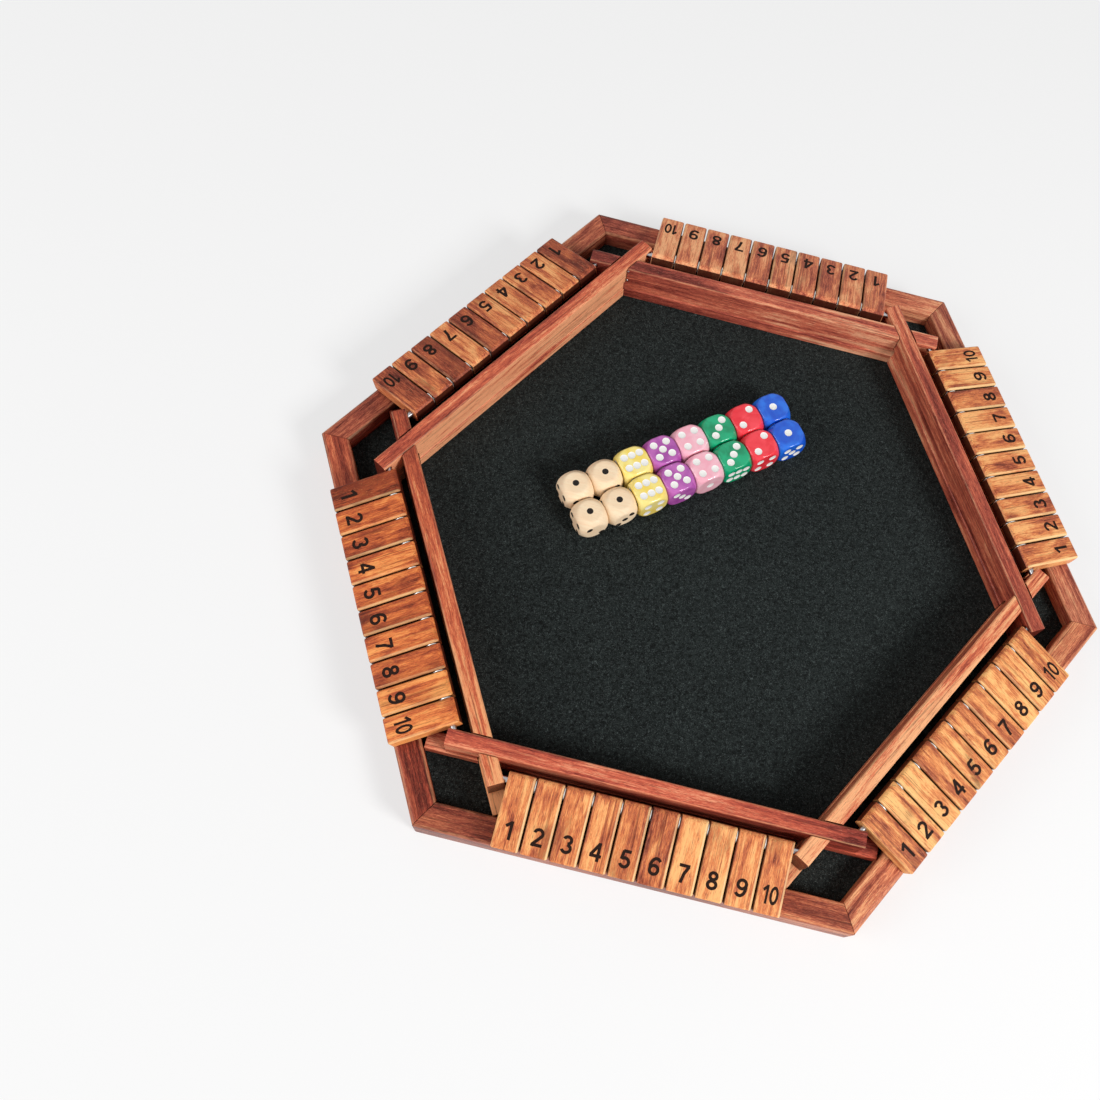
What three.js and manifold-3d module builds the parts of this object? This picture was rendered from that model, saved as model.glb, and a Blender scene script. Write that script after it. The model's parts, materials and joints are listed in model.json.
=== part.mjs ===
// A hexagonal shut the box game for six players: a mitred wooden frame round a felted base, six
// crossed walls that form the dice tray, a steel pin with ten flip tiles on every side, and sixteen dice.
// Millimetres, +Z up, origin on the table under the centre, corners of the hexagon on the X axis.
import * as THREE from 'three';
import { mergeVertices } from 'three/addons/utils/BufferGeometryUtils.js';
import Module from 'manifold-3d';

const wasm = await Module();
wasm.setup();

// Sides in order from the one nearest the viewer, anticlockwise seen from above
const side_names = ['front', 'front_right', 'back_right', 'back', 'back_left', 'front_left'];
const side_angle = (2 * Math.PI) / side_names.length;
const half_angle = side_angle / 2;
// These two sides have ten tiles that each turn by themselves; on the others the row turns with its pin
const loose_tile_sides = ['front', 'front_right'];

// Fits
const fit_gap = 0.3;
const cut_overrun = 4;

// Flip tiles and their row
const tiles_in_row = 10;
const tile_width = 12.8;
const tile_gap = 0.8;
const tile_thickness = 8.5;
const tile_overhang = 2;
const tile_arris = 1.1;
const tile_end_from_pin = 4.25;
const row_end_gap = 1;

// Steel pin that a row of tiles turns on
const pin_diameter = 3;
const pin_from_wall = 8.2;
const pin_below_wall_top = 4;
const pin_cover = 2.5;
const pin_to_rail_end = 4.7;

// Walls of the dice tray: an upper rail on a slightly thicker foot
const wall_thickness = 8;
const wall_height = 24;
const wall_arris = 1.2;
const foot_height = 7;
const foot_step = 0.5;
const lap_height_share = 0.5;

// Outer frame
const channel_width = 24;
const rail_width = 13;
const frame_height = 20;
const frame_outer_arris = 2;
const frame_inner_arris = 1;
const frame_foot_arris = 0.8;

// Base
const panel_recess = 3.2;
const panel_thickness = 5.7;
const groove_depth = 5;
const felt_thickness = 1;

// Dice, in two rows of eight. A die is a cube whose edges and corners are turned down to a ball; the
// shares give the ball's radius in halves of the die, and the wooden dice are turned further.
const die_size = 16.6;
const die_ball_share = 1.37;
const wooden_die_ball_share = 1.19;
const die_facets = 5;
const die_gap = 0.3;
const die_row_gap = 0.9;
const dice_turn = THREE.MathUtils.degToRad(38.7);
const dice_place_shares = [-0.168, 0.25];
const dice_columns = ['natural_a', 'natural_b', 'yellow', 'purple', 'pink', 'green', 'red', 'blue'];

// Levels above the table
const panel_top = panel_recess + panel_thickness;
const felt_top = panel_top + fit_gap + felt_thickness;
const wall_bottom = felt_top + fit_gap;
const wall_top = wall_bottom + wall_height;
const pin_level = wall_top - pin_below_wall_top;
const lap_level = wall_bottom + lap_height_share * wall_height;

// Distances from the centre, square to a side. The tray is just wide enough for the rail ends of
// the two neighbouring walls to hold the pin's ends and to clear the first and the last tile.
const tile_pitch = tile_width + tile_gap;
const row_half = (tiles_in_row * tile_pitch - tile_gap) / 2;
const row_room = row_half + row_end_gap + (wall_thickness * Math.cos(half_angle) + pin_to_rail_end) / 2;
const wall_inner = row_room * Math.tan(side_angle) + pin_from_wall;
const wall_middle = wall_inner + wall_thickness / 2;
const wall_outer = wall_inner + wall_thickness;
const pin_apothem = wall_outer + pin_from_wall;
const frame_inner = wall_outer + channel_width;
const frame_outer = frame_inner + rail_width;

// Lengths along a side
const rail_half = (wall_inner * Math.sin(side_angle) - row_half - row_end_gap) / Math.cos(side_angle);
const foot_corner = (wall_outer + foot_step) * Math.cos(side_angle);
const foot_half = (frame_inner - fit_gap - foot_corner) / Math.sin(side_angle);
const pin_reach = wall_outer - pin_cover - pin_apothem * Math.cos(side_angle);
const pin_half = pin_reach / Math.sin(side_angle);

// Rest of a tile: its underside lies on the rounded outer edge of the frame
const tile_half = tile_thickness / 2;
const edge_run = frame_outer - frame_outer_arris - pin_apothem;
const edge_drop = pin_level - (frame_height - frame_outer_arris);
const edge_distance = Math.hypot(edge_run, edge_drop);
const rest_offset = tile_half + frame_outer_arris + fit_gap;
const tile_tilt = Math.atan2(edge_drop, edge_run) - Math.asin(rest_offset / edge_distance);
const tile_reach = (frame_outer + tile_overhang - pin_apothem - tile_half * Math.sin(tile_tilt))
  / Math.cos(tile_tilt);

const finishes = {
  frame: { color: 0x8c3f2b, roughness: 0.38, metalness: 0 },
  wall: { color: 0x98462f, roughness: 0.4, metalness: 0 },
  tile: { color: 0xc07a45, roughness: 0.42, metalness: 0 },
  panel: { color: 0x7a5438, roughness: 0.7, metalness: 0 },
  felt: { color: 0x151a1c, roughness: 0.98, metalness: 0 },
  pin: { color: 0xb9bcc0, roughness: 0.28, metalness: 1 },
  natural: { color: 0xdcb07c, roughness: 0.5, metalness: 0 },
  yellow: { color: 0xf2c21a, roughness: 0.25, metalness: 0 },
  purple: { color: 0x5a2a86, roughness: 0.25, metalness: 0 },
  pink: { color: 0xe2568f, roughness: 0.25, metalness: 0 },
  green: { color: 0x2f8a3d, roughness: 0.25, metalness: 0 },
  red: { color: 0xc3202a, roughness: 0.25, metalness: 0 },
  blue: { color: 0x1f5fb0, roughness: 0.25, metalness: 0 },
};

function piece(name, geometry, finish) {
  const mesh = new THREE.Mesh(geometry, new THREE.MeshStandardMaterial(finishes[finish]));
  mesh.name = name;
  return mesh;
}

// Closed solid of a geometry, for a cut or a join
function solid(geometry) {
  const bare = geometry.clone();
  bare.deleteAttribute('normal');
  bare.deleteAttribute('uv');
  const merged = mergeVertices(bare);
  return new wasm.Manifold(new wasm.Mesh({
    numProp: 3,
    vertProperties: new Float32Array(merged.attributes.position.array),
    triVerts: new Uint32Array(merged.index.array),
  }));
}

function geometryOf(body) {
  const mesh = body.getMesh();
  const geometry = new THREE.BufferGeometry();
  geometry.setAttribute('position', new THREE.BufferAttribute(new Float32Array(mesh.vertProperties), 3));
  geometry.setIndex(new THREE.BufferAttribute(new Uint32Array(mesh.triVerts), 1));
  return geometry;
}

// A section drawn as (distance outwards, height) becomes a bar along the side, centred on it
const section_to_side = new THREE.Matrix4().makeBasis(
  new THREE.Vector3(0, -1, 0),
  new THREE.Vector3(0, 0, 1),
  new THREE.Vector3(-1, 0, 0),
);

function barAlongSide(section, half_length, bevel = 0) {
  const bar = new THREE.ExtrudeGeometry(section, {
    depth: 2 * (half_length - bevel),
    curveSegments: 4,
    bevelEnabled: bevel > 0,
    bevelThickness: bevel,
    bevelSize: bevel,
    bevelOffset: -bevel,
    bevelSegments: 1,
  });
  bar.translate(0, 0, bevel - half_length);
  return bar.applyMatrix4(section_to_side);
}

function pinAlongSide(radius, half_length) {
  const pin = new THREE.CylinderGeometry(radius, radius, 2 * half_length, 12);
  return pin.rotateZ(Math.PI / 2);
}

// Rail of the frame: rounded outside, grooved inside for the base panel, mitred at both ends
function frameRail() {
  const groove_bottom = panel_recess - fit_gap;
  const groove_top = panel_top + fit_gap;
  const groove_back = frame_inner + groove_depth;
  const section = new THREE.Shape();
  section.moveTo(frame_inner, 0);
  section.lineTo(frame_outer - frame_foot_arris, 0);
  section.lineTo(frame_outer, frame_foot_arris);
  section.lineTo(frame_outer, frame_height - frame_outer_arris);
  section.absarc(frame_outer - frame_outer_arris, frame_height - frame_outer_arris,
    frame_outer_arris, 0, Math.PI / 2);
  section.lineTo(frame_inner + frame_inner_arris, frame_height);
  section.lineTo(frame_inner, frame_height - frame_inner_arris);
  section.lineTo(frame_inner, groove_top);
  section.lineTo(groove_back, groove_top);
  section.lineTo(groove_back, groove_bottom);
  section.lineTo(frame_inner, groove_bottom);
  const rail = barAlongSide(section, frame_outer);
  const places = rail.attributes.position;
  for (let i = 0; i < places.count; i += 1) {
    const mitre = -places.getY(i) * Math.tan(half_angle) - fit_gap / 2 / Math.cos(half_angle);
    places.setX(i, Math.sign(places.getX(i)) * mitre);
  }
  return rail;
}

// Six-sided board with its corners on the X axis
function hexagonBoard(apothem, bottom, thickness) {
  const corner_radius = apothem / Math.cos(half_angle);
  const outline = new THREE.Shape();
  side_names.forEach((_, corner) => {
    const x = corner_radius * Math.cos(corner * side_angle);
    const y = corner_radius * Math.sin(corner * side_angle);
    if (corner === 0) outline.moveTo(x, y);
    else outline.lineTo(x, y);
  });
  const board = new THREE.ExtrudeGeometry(outline, { depth: thickness, bevelEnabled: false });
  return board.translate(0, 0, bottom);
}

// Box that takes out the neighbouring wall's thickness over a range of heights
function lapCutter(thickness, from_level, to_level) {
  const cutter = new THREE.BoxGeometry(
    2 * foot_half + cut_overrun, thickness + 2 * fit_gap, to_level - from_level);
  return cutter.translate(0, -wall_middle, (from_level + to_level) / 2);
}

// Wall of the tray. A wall that passes over is notched below where its neighbours cross it, and
// a wall that passes under is notched above; each rail end is bored for a neighbour's pin.
function trayWall(passes_over) {
  const rail = new THREE.Shape();
  rail.moveTo(wall_inner, wall_bottom);
  rail.lineTo(wall_outer, wall_bottom);
  rail.lineTo(wall_outer, wall_top - wall_arris);
  rail.absarc(wall_outer - wall_arris, wall_top - wall_arris, wall_arris, 0, Math.PI / 2);
  rail.absarc(wall_inner + wall_arris, wall_top - wall_arris, wall_arris, Math.PI / 2, Math.PI);
  const foot = new THREE.Shape();
  foot.moveTo(wall_inner - foot_step, wall_bottom);
  foot.lineTo(wall_outer + foot_step, wall_bottom);
  foot.lineTo(wall_outer + foot_step, wall_bottom + foot_height - foot_step);
  foot.lineTo(wall_outer, wall_bottom + foot_height);
  foot.lineTo(wall_inner, wall_bottom + foot_height);
  foot.lineTo(wall_inner - foot_step, wall_bottom + foot_height - foot_step);
  let wall = solid(barAlongSide(rail, rail_half)).add(solid(barAlongSide(foot, foot_half)));
  const notch = passes_over
    ? lapCutter(wall_thickness + 2 * foot_step, wall_bottom - cut_overrun, lap_level + fit_gap / 2)
    : lapCutter(wall_thickness, lap_level - fit_gap / 2, wall_top + cut_overrun);
  const bore = pinAlongSide(pin_diameter / 2 + fit_gap, pin_half + fit_gap);
  bore.translate(0, -pin_apothem, pin_level);
  for (const turn of [-side_angle, side_angle]) {
    wall = wall.subtract(solid(notch.clone().rotateZ(turn)));
    wall = wall.subtract(solid(bore.clone().rotateZ(turn)));
  }
  return geometryOf(wall);
}

// Flip tile, drawn about its pin and pointing outwards: square ends, eased all round
function tileBlank() {
  const outline = new THREE.Shape();
  outline.moveTo(tile_reach - tile_arris, -tile_half);
  outline.lineTo(tile_reach, tile_arris - tile_half);
  outline.lineTo(tile_reach, tile_half - tile_arris);
  outline.lineTo(tile_reach - tile_arris, tile_half);
  outline.lineTo(tile_arris - tile_end_from_pin, tile_half);
  outline.lineTo(-tile_end_from_pin, tile_half - tile_arris);
  outline.lineTo(-tile_end_from_pin, tile_arris - tile_half);
  outline.lineTo(tile_arris - tile_end_from_pin, -tile_half);
  return barAlongSide(outline, tile_width / 2, tile_arris);
}

function looseTile() {
  const bore = solid(pinAlongSide(pin_diameter / 2 + fit_gap, tile_width));
  return geometryOf(solid(tileBlank()).subtract(bore));
}

const tilePlace = (index) => (index - (tiles_in_row - 1) / 2) * tile_pitch;

// Ten tiles pressed on their pin
function tileRow() {
  const blank = tileBlank();
  let row = solid(pinAlongSide(pin_diameter / 2, pin_half));
  for (let index = 0; index < tiles_in_row; index += 1) {
    row = row.add(solid(blank.clone().translate(tilePlace(index), 0, 0)));
  }
  return geometryOf(row);
}

// Everything that belongs to one side of the hexagon
function side(name, number) {
  const group = new THREE.Group();
  group.rotation.z = number * side_angle;
  group.add(piece(`frame_rail_${name}`, frameRail(), 'frame'));
  group.add(piece(`wall_${name}`, trayWall(number % 2 === 0), 'wall'));
  const hinge = new THREE.Group();
  hinge.position.set(0, -pin_apothem, pin_level);
  hinge.rotation.x = tile_tilt;
  group.add(hinge);
  if (loose_tile_sides.includes(name)) {
    hinge.add(piece(`pin_${name}`, pinAlongSide(pin_diameter / 2, pin_half), 'pin'));
    for (let index = 0; index < tiles_in_row; index += 1) {
      const tile = piece(`tile_${name}_${index + 1}`, looseTile(), 'tile');
      tile.position.x = tilePlace(index);
      hinge.add(tile);
    }
  } else {
    hinge.add(piece(`tile_row_${name}`, tileRow(), 'tile'));
  }
  return group;
}

// A cube whose points outside the ball are drawn in to the ball's surface
function dieBlank(ball_share) {
  const ball_radius = (ball_share * die_size) / 2;
  const cube = new THREE.BoxGeometry(die_size, die_size, die_size, die_facets, die_facets, die_facets);
  cube.deleteAttribute('normal');
  cube.deleteAttribute('uv');
  const blank = mergeVertices(cube);
  const places = blank.attributes.position;
  const place = new THREE.Vector3();
  for (let i = 0; i < places.count; i += 1) {
    place.fromBufferAttribute(places, i).clampLength(0, ball_radius);
    places.setXYZ(i, place.x, place.y, place.z);
  }
  return blank;
}

function dice() {
  const group = new THREE.Group();
  group.position.set(dice_place_shares[0] * wall_inner, dice_place_shares[1] * wall_inner, 0);
  group.rotation.z = dice_turn;
  dice_columns.forEach((colour, column) => {
    for (const row of [0, 1]) {
      const finish = colour.split('_')[0];
      const blank = dieBlank(finish === 'natural' ? wooden_die_ball_share : die_ball_share);
      const die = piece(`die_${colour}_${row + 1}`, blank, finish);
      die.position.set(
        (column - (dice_columns.length - 1) / 2) * (die_size + die_gap),
        (1 / 2 - row) * (die_size + die_row_gap),
        felt_top + fit_gap + die_size / 2,
      );
      group.add(die);
    }
  });
  return group;
}

const game = new THREE.Group();
game.add(piece('base_panel', hexagonBoard(frame_inner + groove_depth - fit_gap, panel_recess,
  panel_thickness), 'panel'));
game.add(piece('felt', hexagonBoard(frame_inner - fit_gap, panel_top + fit_gap, felt_thickness), 'felt'));
side_names.forEach((name, number) => game.add(side(name, number)));
game.add(dice());

export default game;
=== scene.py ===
"""A hexagonal shut the box game for six players: stained wooden frame and walls round a black felt, ten
flip tiles on a steel pin along each side, and sixteen dice. Metres, +Z up, the origin on the table under
the centre."""
import json
import math

import bmesh
import bpy
from mathutils import Matrix, Vector

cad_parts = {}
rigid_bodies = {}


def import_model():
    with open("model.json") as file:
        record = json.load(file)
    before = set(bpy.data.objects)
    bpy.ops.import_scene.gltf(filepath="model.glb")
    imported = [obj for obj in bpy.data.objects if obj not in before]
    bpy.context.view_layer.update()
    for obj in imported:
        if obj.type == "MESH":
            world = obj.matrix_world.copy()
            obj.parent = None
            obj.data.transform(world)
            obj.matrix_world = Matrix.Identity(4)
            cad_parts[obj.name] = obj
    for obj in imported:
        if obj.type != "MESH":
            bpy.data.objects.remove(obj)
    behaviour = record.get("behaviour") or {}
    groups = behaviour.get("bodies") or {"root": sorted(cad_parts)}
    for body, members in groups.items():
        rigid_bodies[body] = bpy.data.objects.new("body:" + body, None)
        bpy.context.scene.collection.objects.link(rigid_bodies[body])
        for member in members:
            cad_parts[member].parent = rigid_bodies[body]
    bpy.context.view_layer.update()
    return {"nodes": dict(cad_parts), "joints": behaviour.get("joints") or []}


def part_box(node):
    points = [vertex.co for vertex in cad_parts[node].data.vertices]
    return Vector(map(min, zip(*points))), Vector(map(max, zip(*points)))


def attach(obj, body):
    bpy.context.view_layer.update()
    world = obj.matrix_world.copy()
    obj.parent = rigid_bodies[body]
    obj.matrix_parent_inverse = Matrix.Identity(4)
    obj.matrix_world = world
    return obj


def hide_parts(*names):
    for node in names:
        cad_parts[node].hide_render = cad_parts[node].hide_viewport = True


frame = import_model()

MM = 0.001

# The camera stands above the front side and a little to its left, looking steeply down and tilted to
# the right. The picture was cropped after it was taken, so its centre is off the lens's axis.
picture_side_px = 1100
focal_length_px = 1090.7
lens_axis_px = Vector((642.4, 566.5))
camera_yaw, camera_pitch, camera_roll = (math.radians(angle) for angle in (1.718, 67.369, 15.671))
camera_distance = 589.93 * MM
camera_right_of_aim = -34.23 * MM
camera_above_aim = -11.48 * MM

camera_turn = (
    Matrix.Rotation(-camera_yaw, 4, "Z")
    @ Matrix.Rotation(math.pi / 2 - camera_pitch, 4, "X")
    @ Matrix.Rotation(camera_roll, 4, "Z")
)
camera_lens = bpy.data.cameras.new("camera")
camera_lens.lens = camera_lens.sensor_width * focal_length_px / picture_side_px
camera_lens.shift_x = 0.5 - lens_axis_px.x / picture_side_px
camera_lens.shift_y = lens_axis_px.y / picture_side_px - 0.5
camera = bpy.data.objects.new("camera", camera_lens)
camera.matrix_world = camera_turn @ Matrix.Translation((
    camera_right_of_aim, camera_above_aim, camera_distance))
bpy.context.scene.collection.objects.link(camera)
bpy.context.scene.camera = camera

# The frame: six rails of open-grained hardwood, mitred at the corners, rounded outside and eased inside,
# with a groove for the base panel. Stained rosewood brown with golden streaks, then satin lacquered.
side_names = ["front", "front_right", "back_right", "back", "back_left", "front_left"]
side_angle = math.tau / len(side_names)
rail_low, rail_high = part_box("frame_rail_front")
panel_low, panel_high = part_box("base_panel")
frame_outer, frame_inner, frame_height = -rail_low.y, -rail_high.y, rail_high.z
mitre_gap = 0.3 * MM
groove_play = 0.3 * MM
outer_round, inner_ease, foot_ease = 2.2 * MM, 1.2 * MM, 0.8 * MM
frame_sharp_degrees = 32
# Of each rail: its tone, how much tone it gains in a metre, and its cast
rail_stains = {
    "front": (0.36, 0.7, (0, 0, 0)),
    "front_right": (0.64, -1.1, (0.1, 0.15, 0.2)),
    "back_right": (0.54, 0, (0, 0.08, 0.25)),
    "back": (0.5, -1.9, (0.1, 0.1, 0.25)),
    "back_left": (0.38, -0.8, (0, 0, 0.08)),
    "front_left": (0.34, -0.2, (0.1, -0.1, -0.12)),
}


class Wire:
    """A socket in a node tree. Arithmetic on wires adds the Math or Vector Math nodes that do it."""

    def __init__(self, tree, socket=None):
        self.tree = tree
        self.socket = socket

    @staticmethod
    def find(sockets, key):
        if isinstance(key, int):
            return sockets[key]
        return next(s for s in sockets if s.enabled and key in (s.name, s.identifier))

    def node(self, kind, inputs=None, output=0, stops=(), **settings):
        """A wire from a new node, whose settings are set first and then its sockets' values and wires."""
        made = self.tree.nodes.new(kind)
        for name, value in settings.items():
            setattr(made, name, value)
        for place, colour in stops:
            ramp = made.color_ramp.elements
            stop = ramp[0] if place == 0 else ramp[-1] if place == 1 else ramp.new(place)
            stop.color = colour
        for key, value in (inputs or {}).items():
            socket = self.find(made.inputs, key)
            if isinstance(value, Wire):
                self.tree.links.new(value.socket, socket)
            else:
                socket.default_value = value
        return Wire(self.tree, self.find(made.outputs, output) if len(made.outputs) else None)

    def combine(self, operation, *values):
        kind = "ShaderNodeMath"
        if any(isinstance(v, tuple) or isinstance(v, Wire) and v.socket.type == "VECTOR" for v in values):
            values = [(v, v, v) if isinstance(v, (int, float)) else v for v in values]
            kind = "ShaderNodeVectorMath"
        return self.node(kind, dict(enumerate(values)), operation=operation)

    def __add__(self, other):
        return self.combine("ADD", self, other)

    def __sub__(self, other):
        return self.combine("SUBTRACT", self, other)

    def __rsub__(self, other):
        return self.combine("SUBTRACT", other, self)

    def __mul__(self, other):
        return self.combine("MULTIPLY", self, other)

    def __truediv__(self, other):
        return self.combine("DIVIDE", self, other)

    def __rtruediv__(self, other):
        return self.combine("DIVIDE", other, self)

    def __abs__(self):
        return self.combine("ABSOLUTE", self)

    __radd__ = __add__
    __rmul__ = __mul__

    def above(self, low, high):
        """0 under the low value, 1 over the high one, and a smooth rise between."""
        return self.node("ShaderNodeMapRange", {"Value": self, "From Min": low, "From Max": high},
                         interpolation_type="SMOOTHSTEP")

    def mixed(self, first, second):
        """The first colour where this wire is 0, the second where it is 1. Each is a wire or a web code."""
        ends = {end: paint(colour) if isinstance(colour, str) else colour
                for end, colour in (("A", first), ("B", second))}
        return self.node("ShaderNodeMix", {"Factor": self, **ends}, "Result", data_type="RGBA")

    def axes(self):
        """The X, Y and Z of a vector."""
        return (self.node("ShaderNodeSeparateXYZ", {"Vector": self}, axis) for axis in "XYZ")


def paint(code):
    """Linear colour of a web colour code."""
    parts = [int(code[i:i + 2], 16) / 255 for i in (1, 3, 5)]
    return tuple(p / 12.92 if p <= 0.04045 else ((p + 0.055) / 1.055) ** 2.4 for p in parts) + (1,)


def new_finish(name):
    material = bpy.data.materials.new(name)
    material.use_nodes = True
    material.node_tree.nodes.clear()
    return material, Wire(material.node_tree)


def coat(tree, inputs):
    shader = tree.node("ShaderNodeBsdfPrincipled", inputs)
    tree.node("ShaderNodeOutputMaterial", {"Surface": shader})


def bump(height, strength, depth):
    return height.node("ShaderNodeBump", {"Height": height, "Strength": strength, "Distance": depth})


def stained_wood(name, stains, worn_and_lit_colour, half_width, half_height, worn_and_lit_width, worn_and_lit_share, scorch, lines, cells,
                 char_and_shade=0.0):
    """Open-grained wood under stain and lacquer. It reads the board's own attributes: place, from its
    centre, along the grain, across it and up; seed, which board it is; tone, 0 dark to 1 golden; drift, the
    tone it gains in a metre; cast, how much more of red, green and blue it has; worn_edge, which long arris
    gets the pale band and how much, partly the stain sanding through and partly painted highlight;
    open_side, the side that no neighbour covers, -1 or 1, whose flank is lightened as painted light;
    end_grain,
    1 on sawn ends. Cells are the patches of tone in a metre, along and across; char is how dark the covered
    sides and the end at the pin are painted, partly scorch and partly painted shade."""
    material, tree = new_finish(name)
    darkest = stains[0]
    place, cast = (tree.node("ShaderNodeAttribute", None, "Vector", attribute_name=label)
                   for label in ("place", "cast"))
    seed, tone, drift, worn_edge, open_side, end_grain = (
        tree.node("ShaderNodeAttribute", None, "Fac", attribute_name=label)
        for label in ("seed", "tone", "drift", "worn_edge", "open_side", "end_grain"))

    def figure(along, across, detail, apart, bend=0.3):
        """Noise stretched along the grain, with this many cells in a metre, apart from the other boards'."""
        spot = place * (along, across, across) + seed * (7.3 * apart, 3.1 * apart, 5.7 * apart)
        facts = {"Vector": spot, "Scale": 1.0, "Detail": detail, "Roughness": 0.6, "Distortion": bend}
        return tree.node("ShaderNodeTexNoise", facts, "Fac") - 0.5

    along, sides, heights = place.axes()
    tone = tone + along * drift
    cloud = figure(*cells, 2, 1.0, 0.6)
    band = figure(14, 330, 3, 1.7, 0.8)
    fibre = figure(190, 2300, 3, 2.3)
    hair = figure(700, 5200, 2, 3.1)
    line = figure(13, 950, 2, 4.7, 0.5).above(0.07, 0.19) * lines
    pore = figure(260, 3600, 1, 3.9).above(0.1, 0.2)
    fleck = figure(520, 4200, 1, 5.3).above(0.16, 0.24)
    burn = (figure(24, 70, 2, 6.1, 0.8) - tone * 0.12).above(-0.04, 0.18) * scorch
    arris_patches = figure(24, 60, 1, 8.3)

    edge_fade = 0.2 * MM
    from_middle = abs(sides)
    flank = from_middle.above(half_width - 0.55 * MM, half_width - edge_fade)
    open_flank = flank * (sides * open_side).above(0.0, edge_fade)
    near_top = heights.above(half_height - worn_and_lit_width, half_height - worn_and_lit_width / 2)
    # The band along the top arrises takes the pale colour: partly the stain sanding through, partly a
    # painted highlight where light catches the arris. On a tile row, one long arris picked for the row gets
    # most of it.
    arris = from_middle.above(half_width - worn_and_lit_width, half_width - worn_and_lit_width / 2) * near_top
    sanded_and_lit = (sides * worn_edge + edge_fade).above(0.0, edge_fade)
    arris_worn_and_lit_share = abs(worn_edge) * 0.85 + worn_and_lit_share

    # Painted light: the open flank at either end of a row is made lighter, as if lit.
    depth = (tone + open_flank * 0.35 + (cloud * 1.6 + band * 1.3) * (tone * 0.9 + 0.5) + fibre * 1.2
             + hair * 0.8)
    stain = tree.node("ShaderNodeValToRGB", {"Fac": depth}, "Color",
                      stops=zip((0, 0.34, 0.66, 1), map(paint, stains)))
    stain = (burn * (0.5 + fibre * 2.5 + band * 1.5)).mixed(stain, darkest)
    stain = (line * (0.75 + hair * 2.0)).mixed(stain, darkest)
    stain = (pore * 0.5).mixed(stain, darkest)
    stain = (fleck * 0.3).mixed(stain, worn_and_lit_colour)
    stain = stain * (cast + (1.0, 1.0, 1.0))
    # Painted highlight and sanding: the arris band is mixed towards the pale colour.
    stain = (arris * sanded_and_lit * (arris_worn_and_lit_share * (arris_patches * 3.0 + 1.0) + fibre * 0.8)).mixed(stain, worn_and_lit_colour)
    # End grain takes up more stain and goes dark; at the tiles' end by the pin this darkening is also
    # painted shade.
    stain = (end_grain * (0.9 + fibre)).mixed(stain, darkest)
    # Painted shade on top of scorch: the flanks that the neighbouring tiles cover and the end at the pin,
    # where the light hardly reaches, are darkened towards near black.
    if char_and_shade:
        covered_flank = (flank - open_flank) * (1.0 - near_top * sanded_and_lit)
        pin_end = end_grain * along.above(0.0, 1 * MM)
        stain = ((covered_flank + pin_end * 0.8) * char_and_shade).mixed(stain, "#1d0c07")
    coat(tree, {
        "Base Color": stain,
        "Roughness": 0.36 + pore * 0.2 + fibre * 0.3,
        "Normal": bump(fibre + hair * 0.5 - pore * 0.8 + band * 0.4, 0.35, 0.12 * MM),
        "Specular IOR Level": 0.2,
    })
    return material


def shown(name, data):
    made = bpy.data.objects.new(name, data)
    bpy.context.scene.collection.objects.link(made)
    return made


def plain_mesh(name, points, faces=()):
    mesh = bpy.data.meshes.new(name)
    mesh.from_pydata(points, [], faces)
    return mesh


def modified(helper, name, **choices):
    """The mesh that a helper's modifiers make of it. The helper is removed."""
    graph = bpy.context.evaluated_depsgraph_get()
    mesh = bpy.data.meshes.new_from_object(helper.evaluated_get(graph), depsgraph=graph, **choices)
    bpy.data.objects.remove(helper)
    mesh.name = name
    return mesh


def smooth(mesh, sharp_degrees):
    mesh.shade_smooth()
    mesh.set_sharp_from_angle(angle=math.radians(sharp_degrees))


def mark(mesh, label, values, kind="FLOAT", domain="POINT"):
    """Stores an attribute that a material or a node tree reads."""
    entry = mesh.attributes.new(label, kind, domain)
    if kind == "FLOAT_VECTOR":
        entry.data.foreach_set("vector", [part for value in values for part in value])
    else:
        entry.data.foreach_set("value", list(values))


def new_tree(name, inputs):
    """A Geometry Nodes tree with a geometry in and out and these inputs, a wire to start from, and each
    input's wire."""
    tree = bpy.data.node_groups.new(name, "GeometryNodeTree")
    tree.interface.new_socket("Geometry", in_out="INPUT", socket_type="NodeSocketGeometry")
    for title, kind in inputs:
        tree.interface.new_socket(title, in_out="INPUT", socket_type="NodeSocket" + kind)
    tree.interface.new_socket("Geometry", in_out="OUTPUT", socket_type="NodeSocketGeometry")
    entry = tree.nodes.new("NodeGroupInput")
    return tree, Wire(tree), {s.name: Wire(tree, s) for s in entry.outputs if s.name}


def vector(tree, **parts):
    return tree.node("ShaderNodeCombineXYZ", parts)


def joined(first, second):
    both = first.node("GeometryNodeJoinGeometry", {"Geometry": first})
    first.tree.links.new(second.socket, both.socket.node.inputs[0])
    return both


def planted(tree, finish, inputs):
    """Instances on points, made real and of one material."""
    made = tree.node("GeometryNodeInstanceOnPoints", inputs)
    made = tree.node("GeometryNodeRealizeInstances", {"Geometry": made})
    return tree.node("GeometryNodeSetMaterial", {"Geometry": made, "Material": finish})


def grown(name, base, tree, sizes, weighted=False):
    """A plain mesh object made from a base mesh by a Geometry Nodes tree with these input values."""
    helper = shown(name + "_helper", base)
    modifier = helper.modifiers.new("grow", "NODES")
    modifier.node_group = tree
    for item in tree.interface.items_tree:
        if item.in_out == "INPUT" and item.name in sizes:
            modifier[item.identifier] = sizes[item.name]
    if weighted:
        helper.modifiers.new("flats", "WEIGHTED_NORMAL").keep_sharp = True
    mesh = modified(helper, name, preserve_all_data_layers=True)
    for index in reversed(range(len(mesh.materials))):
        if not mesh.materials[index]:
            mesh.materials.pop(index=index)
    return shown(name, mesh)


def arc(centre, radius, start, end, steps=6):
    """Points of a quarter round or any other arc, in the plane of a section."""
    turns = (math.radians(start + (end - start) * i / steps) for i in range(steps + 1))
    return [(centre[0] + radius * math.cos(t), centre[1] + radius * math.sin(t)) for t in turns]


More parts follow.
